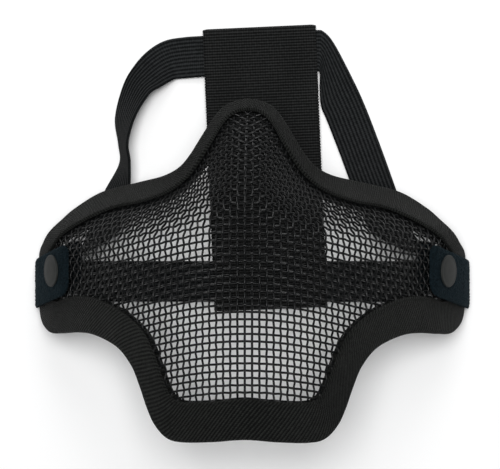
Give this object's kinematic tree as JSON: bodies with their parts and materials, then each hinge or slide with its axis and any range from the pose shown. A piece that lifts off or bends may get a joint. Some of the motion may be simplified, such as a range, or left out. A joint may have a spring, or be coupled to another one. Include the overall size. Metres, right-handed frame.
{
  "type": "half-face mesh mask",
  "caption": "Half-face mask of crimped wire mesh with taped edges, snap side tabs and an elastic head harness with a wide crown panel.",
  "frame": {"origin": "middle of the box's footprint, on the table the mask lies on face up", "axes": "+X across the face, from tab to tab; +Y from the chin to the nose bridge and the crown of the harness; +Z straight out of the face"},
  "size_m": [0.1914, 0.1748, 0.0948],
  "materials": {
    "wire": "satin black painted crimped steel wire",
    "tape": "matt black ribbed binding tape",
    "elastic": "black elastic with ribs along its length",
    "webbing": "black webbing with ribs across its width",
    "pile": "blue-black loop pile",
    "snap_metal": "dull nickel plated",
    "snap_cap": "dark grey painted, worn satin"
  },
  "bodies": {
    "mask": {"mesh_shell": "wire", "upper_binding": "tape", "lower_binding": "tape", "tab_base_left": "pile", "snap_stud_left": "snap_metal", "snap_backing_left": "snap_metal", "tab_base_right": "pile", "snap_stud_right": "snap_metal", "snap_backing_right": "snap_metal"},
    "flap_left": {"tab_flap_left": "pile", "snap_socket_left": "snap_metal", "snap_cap_left": "snap_cap"},
    "flap_right": {"tab_flap_right": "pile", "snap_socket_right": "snap_metal", "snap_cap_right": "snap_cap"},
    "harness": {"top_strap": "elastic", "rear_strap": "elastic", "crown_panel": "webbing"}
  },
  "joints": [
    {"name": "flap_left_open", "type": "hinge", "parent": "mask", "child": "flap_left", "pos_m": [-0.0946, -0.02052, 0.00917], "axis": [0, -1, 0], "range_deg": [0, 105]},
    {"name": "flap_right_open", "type": "hinge", "parent": "mask", "child": "flap_right", "pos_m": [0.0946, -0.02052, 0.00917], "axis": [0, 1, 0], "range_deg": [0, 105]},
    {"name": "harness_swing", "type": "hinge", "parent": "mask", "child": "harness", "pos_m": [0, -0.02592, 0.008], "axis": [-1, 0, 0], "range_deg": [0, 80]}
  ]
}
